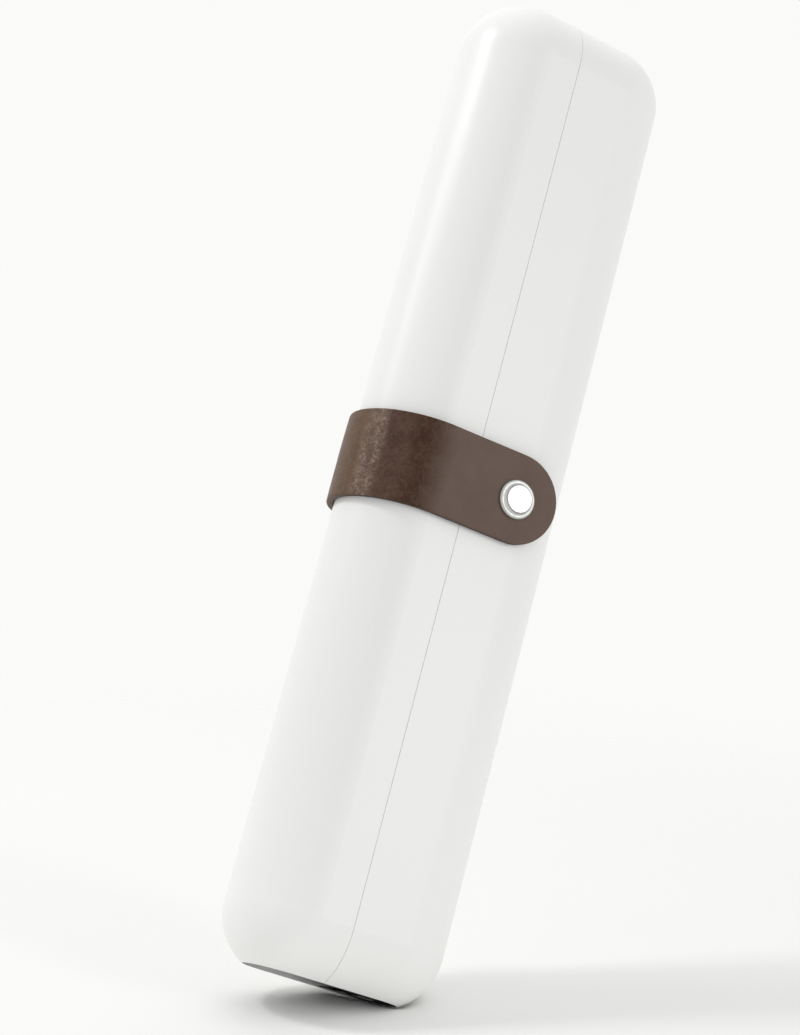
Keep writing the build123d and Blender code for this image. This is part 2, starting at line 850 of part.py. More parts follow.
def strap_tab():
    """Free end of the strap with a round tip, holding the clasp."""
    straight = strap_round_y - strap_fold_y - touch_gap
    outline = Pos(strap_round_y - straight / 2, strap_z) * Rectangle(straight, strap_width)
    outline += Pos(strap_round_y, strap_z) * Circle(strap_width / 2)
    inside = Plane(origin=(strap_inner_x, 0, 0), x_dir=(0, 1, 0), z_dir=(1, 0, 0))
    tab = extrude(inside * outline, strap_thickness)
    centre = (strap_inner_x, clasp_y, clasp_z)
    tab -= rod(clasp_magnet_radius + touch_gap, centre, (1, 0, 0), clasp_magnet_thickness + touch_gap)
    return tab - rod(clasp_post_radius + touch_gap, centre, (1, 0, 0), strap_thickness)


def clasp_cap():
    """Metal cap of the clasp: rolled rim, sloping shoulder and flat top, with a post through the leather."""
    centre = (strap_outer_x, clasp_y, clasp_z)
    profile = [(0, 0), (clasp_radius, 0), (clasp_radius, clasp_rim), (clasp_top_radius, clasp_height),
               (0, clasp_height)]
    cap = turned(profile, centre, (1, 0, 0))
    rings = cap.edges().filter_by(GeomType.CIRCLE).sort_by(Axis.X)
    cap = fillet(rings[1], clasp_rim_round)
    cap = fillet(cap.edges().filter_by(GeomType.CIRCLE).sort_by(Axis.X)[-1], clasp_top_round)
    post = strap_thickness - clasp_magnet_thickness - touch_gap
    return cap + rod(clasp_post_radius, centre, (-1, 0, 0), post)


def clasp_magnet():
    """Magnet let into the inside of the strap."""
    inner_x = strap_inner_x + touch_gap
    return rod(clasp_magnet_radius, (inner_x, clasp_y, clasp_z), (1, 0, 0), clasp_magnet_thickness)


def strap_rivets():
    """Domed rivets through strap and lid."""
    rivets = []
    length = strap_thickness + strap_gap + wall
    for height in rivet_heights():
        rivets.append(turned(
            [(0, -rivet_head_height), (rivet_head_radius * rivet_crown_share, -rivet_head_height),
             (rivet_head_radius, -rivet_head_height * rivet_shoulder_share), (rivet_head_radius, 0),
             (rivet_shank_radius, 0),
             (rivet_shank_radius, length), (0, length)],
            (-strap_outer_x, rivet_y, height), (1, 0, 0)))
    return rivets


def rivet_washers():
    """Washers that spread the rivets' load inside the lid."""
    washers = []
    for height in rivet_heights():
        seat = (wall - half_thickness - washer_thickness, rivet_y, height)
        hole = rod(rivet_shank_radius + touch_gap, seat, (1, 0, 0), washer_thickness)
        washers.append(rod(washer_radius, seat, (1, 0, 0), washer_thickness) - hole)
    return washers


nodes = {
    "rear_shell": rear_shell,
    "base_plate": lambda: base_plate(True),
    "hinge_pins": hinge_pins,
    "keeper_disc": keeper_disc,
    "rear_liner": rear_liner,
    "liner_screws": liner_screws,
    "light_seal": light_seal,
    "rear_reflector": rear_reflector,
    "brush_rests": brush_rests,
    "uv_window": uv_window,
    "window_gasket": window_gasket,
    "uv_leds": uv_leds,
    "uv_board": uv_board,
    "uv_flex": uv_flex,
    "main_board": main_board,
    "board_chips": board_chips,
    "lead_plugs": lead_plugs,
    "lead_wires": lead_wires,
    "battery_cell": battery_cell,
    "battery_holder": battery_holder,
    "cell_tabs": cell_tabs,
    "base_board": base_board,
    "board_screws": board_screws,
    "usb_socket": usb_socket,
    "usb_tongue": usb_tongue,
    "tact_switch": tact_switch,
    "status_led": status_led,
    "light_guide": light_guide,
    "hall_sensor": hall_sensor,
    "power_button": power_button,
    "switch_plunger": switch_plunger,
    "front_shell": front_shell,
    "lid_base_plate": lambda: base_plate(False),
    "lid_liner": lid_liner,
    "lid_reflector": lid_reflector,
    "lid_pads": lid_pads,
    "lid_magnet": lid_magnet,
    "strap_band": strap_band,
    "strap_rivets": strap_rivets,
    "rivet_washers": rivet_washers,
    "strap_tab": strap_tab,
    "clasp_cap": clasp_cap,
    "clasp_magnet": clasp_magnet,
}

os.makedirs("parts", exist_ok=True)
for name, make in nodes.items():
    made = make()
    pieces = made if isinstance(made, list) else [made]
    solids = [solid for piece in pieces for solid in piece.solids()]
    shape = solids[0] if len(solids) == 1 else Compound(solids)
    export_step(shape, f"parts/{name}.step")
    box = shape.bounding_box()
    print(f"{name}: {len(solids)} solid(s), X {box.min.X:.2f} {box.max.X:.2f}, "
          f"Y {box.min.Y:.2f} {box.max.Y:.2f}, Z {box.min.Z:.2f} {box.max.Z:.2f}")
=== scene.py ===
import json
import math

import bpy
from mathutils import Euler, Matrix, Vector, noise
from mathutils.bvhtree import BVHTree

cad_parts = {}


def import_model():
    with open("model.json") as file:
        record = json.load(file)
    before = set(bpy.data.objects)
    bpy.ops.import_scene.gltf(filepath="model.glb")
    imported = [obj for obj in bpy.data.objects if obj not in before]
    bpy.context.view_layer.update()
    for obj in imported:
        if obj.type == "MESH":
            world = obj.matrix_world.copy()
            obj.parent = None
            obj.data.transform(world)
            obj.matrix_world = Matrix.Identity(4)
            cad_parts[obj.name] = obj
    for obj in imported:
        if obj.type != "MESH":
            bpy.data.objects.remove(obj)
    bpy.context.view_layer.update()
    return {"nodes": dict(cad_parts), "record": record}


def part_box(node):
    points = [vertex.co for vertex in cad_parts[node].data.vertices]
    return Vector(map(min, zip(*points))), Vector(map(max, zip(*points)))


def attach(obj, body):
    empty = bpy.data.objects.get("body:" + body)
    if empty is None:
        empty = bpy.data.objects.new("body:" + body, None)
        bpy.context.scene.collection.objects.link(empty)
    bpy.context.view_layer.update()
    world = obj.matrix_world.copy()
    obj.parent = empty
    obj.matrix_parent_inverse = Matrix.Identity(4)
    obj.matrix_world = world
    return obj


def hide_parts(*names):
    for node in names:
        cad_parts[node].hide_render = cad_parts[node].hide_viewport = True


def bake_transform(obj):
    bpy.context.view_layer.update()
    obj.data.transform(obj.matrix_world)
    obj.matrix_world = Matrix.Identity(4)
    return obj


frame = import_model()

MM = 0.001
nodes = frame["nodes"]

# Camera, fitted to the outline of the case in the photograph
CAMERA_PLACE = Vector((438.945, -216.644, -31.664)) * MM
CAMERA_TURN = Euler((math.radians(105.0526), math.radians(-14.5422), math.radians(60.8744)), "XYZ")
CAMERA_LENS = 85.644
CAMERA_NEAR = 0.01
CAMERA_FAR = 20

# Case sizes that the pieces below follow
_, case_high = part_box("front_shell")
_, rear_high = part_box("rear_shell")
_, band_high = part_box("strap_band")
tab_low, tab_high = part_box("strap_tab")
cap_low, cap_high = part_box("clasp_cap")
FACE_X = rear_high.x
END_CENTRE_Y = rear_high.y - FACE_X

# Directions of the photograph in the shared frame
VIEW = CAMERA_TURN.to_matrix()
RIGHT, UP, BACK = (VIEW @ Vector(axis) for axis in ((1, 0, 0), (0, 1, 0), (0, 0, 1)))
CENTRE = Vector((0, 0, case_high.z / 2))


def place_object(name, data):
    """Object that holds the data, linked to the scene."""
    item = bpy.data.objects.new(name, data)
    bpy.context.scene.collection.objects.link(item)
    return item


# Node material helpers

# Most of what a noise texture gives lies between these two values
NOISE_LOW = 0.3
NOISE_HIGH = 0.7

# Places of the colour sockets of a Mix node, whose names repeat
MIX_FIRST = 6
MIX_SECOND = 7
MIX_RESULT = 2


def new_material(name):
    """Empty node material with its output and a Principled shader joined to it."""
    material = bpy.data.materials.new(name)
    material.use_nodes = True
    tree = material.node_tree
    tree.nodes.clear()
    output = tree.nodes.new("ShaderNodeOutputMaterial")
    shader = tree.nodes.new("ShaderNodeBsdfPrincipled")
    tree.links.new(shader.outputs["BSDF"], output.inputs["Surface"])
    return material, tree, shader


def mapped(tree, vector, scale):
    """Coordinates stretched along each axis."""
    mapping = tree.nodes.new("ShaderNodeMapping")
    mapping.inputs["Scale"].default_value = scale
    tree.links.new(vector, mapping.inputs["Vector"])
    return mapping.outputs["Vector"]


def object_coordinates(tree, scale=(1, 1, 1)):
    """Object coordinates in metres, so that patterns keep their real size."""
    place = tree.nodes.new("ShaderNodeTexCoord")
    return mapped(tree, place.outputs["Object"], scale)


def noise_field(tree, vector, scale, detail, roughness=0.55, distortion=0.0):
    """Noise texture; returns its value."""
    node = tree.nodes.new("ShaderNodeTexNoise")
    node.inputs["Scale"].default_value = scale
    node.inputs["Detail"].default_value = detail
    node.inputs["Roughness"].default_value = roughness
    node.inputs["Distortion"].default_value = distortion
    tree.links.new(vector, node.inputs["Vector"])
    return node.outputs["Fac"]


def cell_field(tree, vector, scale, feature):
    """Voronoi texture; returns its distance."""
    node = tree.nodes.new("ShaderNodeTexVoronoi")
    node.feature = feature
    node.inputs["Scale"].default_value = scale
    tree.links.new(vector, node.inputs["Vector"])
    return node.outputs["Distance"]


def ramp(tree, value, positions, colours):
    """Colour ramp with one colour at each position."""
    node = tree.nodes.new("ShaderNodeValToRGB")
    points = node.color_ramp.elements
    while len(points) < len(positions):
        points.new(0.5)
    for point, position, colour in zip(points, positions, colours):
        point.position = position
        point.color = (*colour, 1.0)
    tree.links.new(value, node.inputs["Fac"])
    return node.outputs["Color"]


def two_tone(tree, value, dark, light):
    """Colour that moves from dark to light as a noise value rises."""
    return ramp(tree, value, (NOISE_LOW, NOISE_HIGH), (dark, light))


def spread(tree, value, low, high, low_out, high_out, kind="LINEAR"):
    """Map range of a value."""
    node = tree.nodes.new("ShaderNodeMapRange")
    node.interpolation_type = kind
    node.inputs["From Min"].default_value = low
    node.inputs["From Max"].default_value = high
    node.inputs["To Min"].default_value = low_out
    node.inputs["To Max"].default_value = high_out
    tree.links.new(value, node.inputs["Value"])
    return node.outputs["Result"]


def rise(tree, value, low, high):
    """0 up to low, 1 from high on."""
    return spread(tree, value, low, high, 0.0, 1.0)


def fall(tree, value, low, high):
    """1 up to low, 0 from high on."""
    return spread(tree, value, low, high, 1.0, 0.0)


def combine(tree, operation, *values):
    """Math node on numbers or sockets."""
    node = tree.nodes.new("ShaderNodeMath")
    node.operation = operation
    for socket, value in zip(node.inputs, values):
        if isinstance(value, (int, float)):
            socket.default_value = value
        else:
            tree.links.new(value, socket)
    return node.outputs["Value"]


def blend_colours(tree, share, first, second):
    """Mix of two colours or colour sockets."""
    node = tree.nodes.new("ShaderNodeMix")
    node.data_type = "RGBA"
    tree.links.new(share, node.inputs["Factor"])
    for socket, value in ((node.inputs[MIX_FIRST], first), (node.inputs[MIX_SECOND], second)):
        if isinstance(value, tuple):
            socket.default_value = (*value, 1.0)
        else:
            tree.links.new(value, socket)
    return node.outputs[MIX_RESULT]


def vary_roughness(tree, shader, value, rough):
    """Roughness that a noise value moves between two limits."""
    tree.links.new(spread(tree, value, NOISE_LOW, NOISE_HIGH, *rough), shader.inputs["Roughness"])


def add_bump(tree, shader, heights):
    """Chain of bumps; heights holds value, strength and depth in metres."""
    normal = None
    for value, strength, depth in heights:
        bump = tree.nodes.new("ShaderNodeBump")
        bump.inputs["Strength"].default_value = strength
        bump.inputs["Distance"].default_value = depth
        tree.links.new(value, bump.inputs["Height"])
        if normal is not None:
            tree.links.new(normal, bump.inputs["Normal"])
        normal = bump.outputs["Normal"]
    tree.links.new(normal, shader.inputs["Normal"])


# Materials

# Shell. Here and below a bump is a strength and a depth, and a pair of roughnesses the least and the most.
SHELL_WHITE = ((0.905, 0.905, 0.890), (0.920, 0.920, 0.906))
SHELL_ROUGH = (0.30, 0.36)
SHELL_IOR = 1.48
SHELL_BUMP = (0.03, 0.01 * MM)

# Leather: a dark and a light brown for each stretch, with one between them where it is mottled; the flat
# stretch's browns are partly its own tone and partly a painted sheen
FLAT_BROWN_AND_SHEEN = ((0.105, 0.066, 0.047), (0.121, 0.078, 0.057))
DEEP_BROWN = ((0.038, 0.015, 0.006), (0.050, 0.021, 0.010), (0.070, 0.034, 0.020))
BENT_BROWN = ((0.056, 0.027, 0.017), (0.076, 0.039, 0.026), (0.104, 0.059, 0.042))
# Round the bend's side the lighter browns are painted sheen
SIDE_SHEEN_BROWN = ((0.099, 0.055, 0.029), (0.137, 0.081, 0.049))
MOTTLE_STOPS = (0.32, 0.50, 0.70)

# Leather: veins where it is bent, and a painted highlight on the crown of the bend, pale where specks and
# haze are both high
VEIN_BROWN = (0.150, 0.095, 0.070)
VEIN_WIDTH = 0.035
VEIN_SHARE = 0.30
HIGHLIGHT_BROWN = (0.32, 0.24, 0.19)
HIGHLIGHT_SHARE = 0.90
HIGHLIGHT_SPECKS = (0.45, 0.60)
HIGHLIGHT_HAZE = (0.34, 0.58)
HIGHLIGHT_LEAST = 0.20

# Leather: where each stretch fades in or out, from the front end of the bend towards the nose, and by how
# much these places wobble, which is less under the painted highlight
BEND_STARTS = (-1.6 * MM, 4.2 * MM)
BEND_ENDS = (34 * MM, 40 * MM)
DEEP_ENDS = (5.5 * MM, 9.0 * MM)
# Where the painted highlight lies on the bend
HIGHLIGHT_STARTS = (11.9 * MM, 13.3 * MM)
HIGHLIGHT_ENDS = (15.6 * MM, 17.8 * MM)
# Where the painted sheen round the side of the bend begins
SIDE_SHEEN_STARTS = (11.0 * MM, 17.0 * MM)
LOOSE_WOBBLE = 2.2 * MM
STEADY_WOBBLE = 0.9 * MM

# Leather: surface
FLAT_SPECULAR = 0.50
BENT_SPECULAR = 0.22
SPECK_RANGE = (0.35, 0.65)
LEATHER_ROUGH = (0.52, 0.64)
BENT_SMOOTHER = 0.10
LEATHER_IOR = 1.45
SHEEN_WEIGHT = 0.12
SHEEN_ROUGH = 0.30
CRACK_WIDTH = 0.10
FLAT_RELIEF = 0.12
SPECK_BUMP = (0.10, 0.03 * MM)
RELIEF_BUMP = (0.35, 0.10 * MM)

# Cut edge of the leather: dark on the clasp's side of the bend, paler beyond
EDGE_DARK = ((0.020, 0.010, 0.007), (0.046, 0.026, 0.018))
EDGE_PALER = ((0.090, 0.056, 0.040), (0.130, 0.086, 0.064))
EDGE_PALER_STARTS = (12 * MM, 24 * MM)
EDGE_ROUGH = (0.55, 0.72)
EDGE_SPECULAR = 0.3
EDGE_BUMP = (0.2, 0.04 * MM)

# Plastics: the scale of their grain, and how many times coarser their clouds of colour are
PLASTIC_GRAIN = 900.0
PLASTIC_CLOUDS = 12
PLASTIC_BUMP = (0.02, 0.02 * MM)

# Metals and clear parts
METAL_BUMP = (0.04, 0.01 * MM)
CLEAR_IOR = 1.46
CLEAR_TRANSMISSION = 0.92


def shell_material():
    """Satin white moulding with a barely visible spark-eroded texture."""
    material, tree, shader = new_material("shell_white")
    vector = object_coordinates(tree)
    cloud = noise_field(tree, vector, scale=18.0, detail=2.0)
    fine = noise_field(tree, vector, scale=2600.0, detail=3.0)
    tree.links.new(two_tone(tree, cloud, *SHELL_WHITE), shader.inputs["Base Color"])
    vary_roughness(tree, shader, fine, SHELL_ROUGH)
    shader.inputs["IOR"].default_value = SHELL_IOR
    add_bump(tree, shader, [(fine, *SHELL_BUMP)])
    return material


def strap_coordinates(tree):
    """Place on the leather in metres: along from the bend's front end, across, through; and along alone."""
    node = tree.nodes.new("ShaderNodeAttribute")
    node.attribute_name = "strap_place"
    split = tree.nodes.new("ShaderNodeSeparateXYZ")
    tree.links.new(node.outputs["Vector"], split.inputs["Vector"])
    return node.outputs["Vector"], split.outputs["X"]


def leather_zones(tree, place, along):
    """Shares of the leather that are bent, darkest at the bend's start, under the painted highlight, and
    round its side, where a sheen is painted.
    """
    wobble = noise_field(tree, place, scale=260.0, detail=4.0, roughness=0.6)
    loose = combine(tree, "ADD", along, spread(tree, wobble, 0.0, 1.0, -LOOSE_WOBBLE, LOOSE_WOBBLE))
    steady = combine(tree, "ADD", along, spread(tree, wobble, 0.0, 1.0, -STEADY_WOBBLE, STEADY_WOBBLE))
    bent = combine(tree, "MULTIPLY", rise(tree, loose, *BEND_STARTS), fall(tree, loose, *BEND_ENDS))
    deep = fall(tree, loose, *DEEP_ENDS)
    highlight_band = combine(tree, "MULTIPLY", rise(tree, steady, *HIGHLIGHT_STARTS), fall(tree, steady, *HIGHLIGHT_ENDS))
    side = rise(tree, loose, *SIDE_SHEEN_STARTS)
    return bent, deep, highlight_band, side


def leather_colour(tree, place, specks, bent, deep, highlight_band, side):
    """Even brown, partly painted sheen, where the leather is flat; mottled and veined where it is bent, with
    a painted sheen round the side and a speckled painted highlight on the crown.
    """
    blotch = noise_field(tree, place, scale=150.0, detail=3.0, roughness=0.5, distortion=0.4)
    mottle = noise_field(tree, place, scale=420.0, detail=6.0, roughness=0.62, distortion=0.8)
    drawn = mapped(tree, place, (1.0, 0.6, 1.0))
    haze = noise_field(tree, drawn, scale=520.0, detail=3.0, roughness=0.6, distortion=0.6)
    colour = blend_colours(tree, deep, ramp(tree, mottle, MOTTLE_STOPS, BENT_BROWN),
                           ramp(tree, mottle, MOTTLE_STOPS, DEEP_BROWN))
    # Painted sheen: lighter brown round the side of the bend
    colour = blend_colours(tree, side, colour, ramp(tree, mottle, MOTTLE_STOPS[::2], SIDE_SHEEN_BROWN))
    vein = combine(tree, "ABSOLUTE", combine(tree, "SUBTRACT", haze, 0.5))
    veins = combine(tree, "MULTIPLY", spread(tree, vein, 0.0, VEIN_WIDTH, VEIN_SHARE, 0.0), bent)
    colour = blend_colours(tree, veins, colour, VEIN_BROWN)
    # Painted highlight: pale specks in a band of the bend
    highlight_specks = combine(tree, "MULTIPLY", rise(tree, specks, *HIGHLIGHT_SPECKS),
                   spread(tree, haze, *HIGHLIGHT_HAZE, HIGHLIGHT_LEAST, 1.0))
    pale = combine(tree, "MULTIPLY", combine(tree, "MULTIPLY", highlight_specks, highlight_band), HIGHLIGHT_SHARE)
    colour = blend_colours(tree, pale, colour, HIGHLIGHT_BROWN)
    # The flat stretch's paler, greyer brown is partly its own tone and partly a painted sheen
    return blend_colours(tree, bent, two_tone(tree, blotch, *FLAT_BROWN_AND_SHEEN), colour)


def leather_relief(tree, place, bent):
    """Height of the flaky grain and its cracks, strongest where the leather is bent."""
    flakes = cell_field(tree, mapped(tree, place, (1.0, 1.6, 1.0)), scale=1500.0, feature="F1")
    drawn = mapped(tree, place, (1.0, 0.8, 1.0))
    creases = cell_field(tree, drawn, scale=900.0, feature="DISTANCE_TO_EDGE")
    crack = combine(tree, "MULTIPLY", fall(tree, creases, 0.0, CRACK_WIDTH), bent)
    strength = combine(tree, "ADD", bent, FLAT_RELIEF)
    return combine(tree, "MULTIPLY", combine(tree, "SUBTRACT", flakes, crack), strength)


def leather_material():
    """Oiled leather: matt and even where it lies flat, dark, mottled and finely cracked where it is bent;
    sheen and a highlight are painted into its colour.
    """
    material, tree, shader = new_material("strap_leather")
    place, along = strap_coordinates(tree)
    bent, deep, highlight_band, side = leather_zones(tree, place, along)
    specks = noise_field(tree, place, scale=1500.0, detail=5.0, roughness=0.78, distortion=1.2)
    colour = leather_colour(tree, place, specks, bent, deep, highlight_band, side)
    tree.links.new(colour, shader.inputs["Base Color"])
    specular = spread(tree, bent, 0.0, 1.0, FLAT_SPECULAR, BENT_SPECULAR)
    tree.links.new(specular, shader.inputs["Specular IOR Level"])
    rough = combine(tree, "SUBTRACT", spread(tree, specks, *SPECK_RANGE, *LEATHER_ROUGH),
                    combine(tree, "MULTIPLY", bent, BENT_SMOOTHER))
    tree.links.new(rough, shader.inputs["Roughness"])
    shader.inputs["IOR"].default_value = LEATHER_IOR
    shader.inputs["Sheen Weight"].default_value = SHEEN_WEIGHT
    shader.inputs["Sheen Roughness"].default_value = SHEEN_ROUGH
    relief = leather_relief(tree, place, bent)
    add_bump(tree, shader, [(specks, *SPECK_BUMP), (relief, *RELIEF_BUMP)])
    return material


def edge_material():
    """Burnished edge of the leather with fine fibres along it."""
    material, tree, shader = new_material("strap_edge")
    place, along = strap_coordinates(tree)
    fibre = noise_field(tree, mapped(tree, place, (0.15, 0.15, 1.0)), scale=5000.0, detail=4.0)
    colour = blend_colours(tree, rise(tree, along, *EDGE_PALER_STARTS), two_tone(tree, fibre, *EDGE_DARK),
                           two_tone(tree, fibre, *EDGE_PALER))
    tree.links.new(colour, shader.inputs["Base Color"])
    vary_roughness(tree, shader, fibre, EDGE_ROUGH)
    shader.inputs["Specular IOR Level"].default_value = EDGE_SPECULAR
    add_bump(tree, shader, [(fibre, *EDGE_BUMP)])
    return material


def plastic_material(name, dark, light, rough, grain=PLASTIC_GRAIN):
    """Plastic, rubber or board whose colour, roughness and surface vary a little with a fine grain."""
    material, tree, shader = new_material(name)
    vector = object_coordinates(tree)
    cloud = noise_field(tree, vector, scale=grain / PLASTIC_CLOUDS, detail=3.0)
    fine = noise_field(tree, vector, scale=grain, detail=5.0)
    tree.links.new(two_tone(tree, cloud, dark, light), shader.inputs["Base Color"])
    vary_roughness(tree, shader, fine, rough)
    add_bump(tree, shader, [(fine, *PLASTIC_BUMP)])
    return material


def metal_material(name, dark, light, rough, stretch=(1, 1, 1), edge=(1, 1, 1)):
    """Metal with fine tool marks; edge tints what it mirrors at a grazing angle."""
    material, tree, shader = new_material(name)
    vector = object_coordinates(tree, stretch)
    marks = noise_field(tree, vector, scale=1400.0, detail=4.0)
    cloud = noise_field(tree, vector, scale=70.0, detail=3.0)
    tree.links.new(two_tone(tree, cloud, dark, light), shader.inputs["Base Color"])
    vary_roughness(tree, shader, marks, rough)
    shader.inputs["Metallic"].default_value = 1.0
    shader.inputs["Specular Tint"].default_value = (*edge, 1.0)
    add_bump(tree, shader, [(marks, *METAL_BUMP)])
    return material


def clear_material(name, tint, rough):
    """Clear part with faint streaks in its polish."""
    material, tree, shader = new_material(name)
    streak = noise_field(tree, object_coordinates(tree), scale=300.0, detail=2.0)
    vary_roughness(tree, shader, streak, rough)
    shader.inputs["Base Color"].default_value = (*tint, 1.0)
    shader.inputs["Transmission Weight"].default_value = CLEAR_TRANSMISSION
    shader.inputs["IOR"].default_value = CLEAR_IOR
    return material


# Metals: dark and light colour, roughness, and for some the stretch of their marks and the tint of their edge
METALS = {
    "clasp_metal": ((0.78, 0.78, 0.765), (0.84, 0.84, 0.825), (0.28, 0.36)),
    # Darker copies of the clasp's metal for its rim and shoulder: painted shade
    "clasp_rim_shade": ((0.44, 0.44, 0.43), (0.52, 0.52, 0.505), (0.32, 0.44)),
    "clasp_shoulder_shade": ((0.58, 0.58, 0.57), (0.68, 0.68, 0.665), (0.38, 0.50)),
    "foot_metal": ((0.21, 0.214, 0.218), (0.27, 0.274, 0.278), (0.10, 0.20),
                   (1, 0.1, 1), (0.10, 0.10, 0.105)),
    "pin_steel": ((0.50, 0.51, 0.53), (0.60, 0.61, 0.63), (0.25, 0.38), (1, 1, 0.05)),
    "screw_steel": ((0.48, 0.49, 0.51), (0.56, 0.57, 0.59), (0.28, 0.40)),
    "reflector": ((0.80, 0.81, 0.82), (0.86, 0.87, 0.88), (0.08, 0.16)),
    "nickel": ((0.58, 0.57, 0.53), (0.66, 0.65, 0.61), (0.25, 0.35)),
    "socket_steel": ((0.58, 0.59, 0.60), (0.66, 0.67, 0.68), (0.22, 0.34)),
    "magnet": ((0.52, 0.52, 0.53), (0.60, 0.60, 0.61), (0.15, 0.25)),
}

# Plastics, rubbers and boards: dark and light colour, roughness, and for one its own grain
PLASTICS = {
    "liner_white": ((0.78, 0.79, 0.80), (0.84, 0.85, 0.86), (0.34, 0.44)),
    "silicone": ((0.60, 0.61, 0.62), (0.66, 0.67, 0.68), (0.55, 0.68)),
    "circuit_board": ((0.012, 0.075, 0.040), (0.018, 0.100, 0.055), (0.30, 0.42)),
    "led_body": ((0.75, 0.72, 0.50), (0.82, 0.80, 0.60), (0.15, 0.25), 500.0),
    "chip_black": ((0.012, 0.012, 0.014), (0.020, 0.020, 0.022), (0.40, 0.55)),
    "flex_amber": ((0.38, 0.15, 0.03), (0.46, 0.20, 0.05), (0.20, 0.30)),
    "plug_white": ((0.70, 0.67, 0.60), (0.76, 0.73, 0.66), (0.40, 0.52)),
    "lead_red": ((0.32, 0.015, 0.012), (0.40, 0.022, 0.018), (0.38, 0.50)),
    "cell_wrap": ((0.03, 0.09, 0.22), (0.04, 0.11, 0.26), (0.22, 0.34)),
    "holder_black": ((0.014, 0.014, 0.016), (0.022, 0.022, 0.024), (0.42, 0.55)),
    "button_grey": ((0.24, 0.245, 0.25), (0.28, 0.285, 0.29), (0.20, 0.30)),
}

# Clear parts: tint and roughness
CLEARS = {
    "quartz": ((0.90, 0.93, 1.0), (0.02, 0.06)),
    "light_clear": ((0.95, 0.97, 1.0), (0.10, 0.14)),
}

materials = {
    "shell_white": shell_material(),
    "strap_leather": leather_material(),
    "strap_edge": edge_material(),
}
for make, rows in ((metal_material, METALS), (plastic_material, PLASTICS), (clear_material, CLEARS)):
    materials.update({name: make(name, *row) for name, row in rows.items()})

# Looks of the CAD nodes, and mesh objects of the script's own

CREASE_ANGLE = math.radians(32)


def shade_smooth(mesh):
    """Smooth shading on every face."""
    for face in mesh.polygons:
        face.use_smooth = True


slot_of = {row["node"]: row["material_slot"] for row in frame["record"]["subparts"]}
for node, item in nodes.items():
    item.data.materials.clear()
    item.data.materials.append(materials[slot_of[node]])
    shade_smooth(item.data)
    item.modifiers.new("crisp", "EDGE_SPLIT").split_angle = CREASE_ANGLE


def mesh_object(name, points, faces):
    """Smooth mesh object from points and faces."""
    mesh = bpy.data.meshes.new(name)
    mesh.from_pydata([tuple(point) for point in points], [], faces)
    mesh.update()
    shade_smooth(mesh)
    return place_object(name, mesh)


def make_piece(name, points, faces, slots, face_slots):
    """Mesh object with a material for each slot; face_slots holds each face's place in slots."""
    item = mesh_object(name, points, faces)
    for slot in slots:
        item.data.materials.append(materials[slot])
    for face, index in zip(item.data.polygons, face_slots):
        face.material_index = index
    return item


# Strap

STRAP_GAP = tab_low.x - FACE_X
STRAP_THICKNESS = tab_high.x - tab_low.x
STRAP_Z = (tab_low.z + tab_high.z) / 2
STRAP_HALF = (tab_high.z - tab_low.z) / 2
STRAP_TIP_CENTRE_Y = tab_high.y - STRAP_HALF
BEND_RADIUS = FACE_X

# Lengths along the case's surface from the riveted end: to the bend, round it, and to the round tip's centre
FIXED_LENGTH = band_high.y + END_CENTRE_Y
BEND_END = FIXED_LENGTH + math.pi * BEND_RADIUS
STRAP_LENGTH = BEND_END + END_CENTRE_Y + STRAP_TIP_CENTRE_Y

# Steps of the strap's mesh, the rounding of its cut edge, and its two materials
ALONG_STEPS = 150
ACROSS_STEPS = 26
EDGE_ROUND = 0.32 * MM
EDGE_STEPS = 4
STRAP_SLOTS = ("strap_leather", "strap_edge")
LEATHER_SLOT, EDGE_SLOT = range(2)

# How the leather strays from an even sheet: the clasp's press, ripples, sides bowed down and waving
PRESS_DEPTH = 0.06 * MM
PRESS_RADIUS = 4.1 * MM
PRESS_WIDTH = 1.1 * MM
RIPPLE_HEIGHT = 0.05 * MM
RIPPLES_PER_METRE = 130
RIPPLE_LAYER = 3.7
BOW_DEPTH = 0.10 * MM
WAVE_WIDTH = 0.12 * MM
WAVES_PER_METRE = 60
WAVE_LAYER = (9.1, 2.2)


def strap_place(along):
    """Point on the case's surface and outward direction, at a length along the strap from its riveted end."""
    if along < FIXED_LENGTH:
        return Vector((-FACE_X, band_high.y - along, 0)), Vector((-1, 0, 0))
    if along < BEND_END:
        angle = math.pi + (along - FIXED_LENGTH) / BEND_RADIUS
        out = Vector((math.cos(angle), math.sin(angle), 0))
        return Vector((0, -END_CENTRE_Y, 0)) + out * BEND_RADIUS, out
    return Vector((FACE_X, along - BEND_END - END_CENTRE_Y, 0)), Vector((1, 0, 0))


def strap_point(along, across, height):
    """Point of the leather at lengths along it and across from its middle, height above its inner face."""
    base, out = strap_place(along)
    from_clasp = math.hypot(along - STRAP_LENGTH, across)
    press = PRESS_DEPTH * math.exp(-((from_clasp - PRESS_RADIUS) / PRESS_WIDTH) ** 2)
    ripple_place = Vector((along * RIPPLES_PER_METRE, across * RIPPLES_PER_METRE, RIPPLE_LAYER))
    ripple = RIPPLE_HEIGHT * noise.noise(ripple_place)
    side = across / STRAP_HALF
    bow = BOW_DEPTH * side ** 2
    lift = STRAP_GAP + height + (ripple - press - bow) * height / STRAP_THICKNESS
    wave = WAVE_WIDTH * noise.noise(Vector((along * WAVES_PER_METRE, *WAVE_LAYER))) * side
    return base + out * lift + Vector((0, 0, STRAP_Z + across + wave))


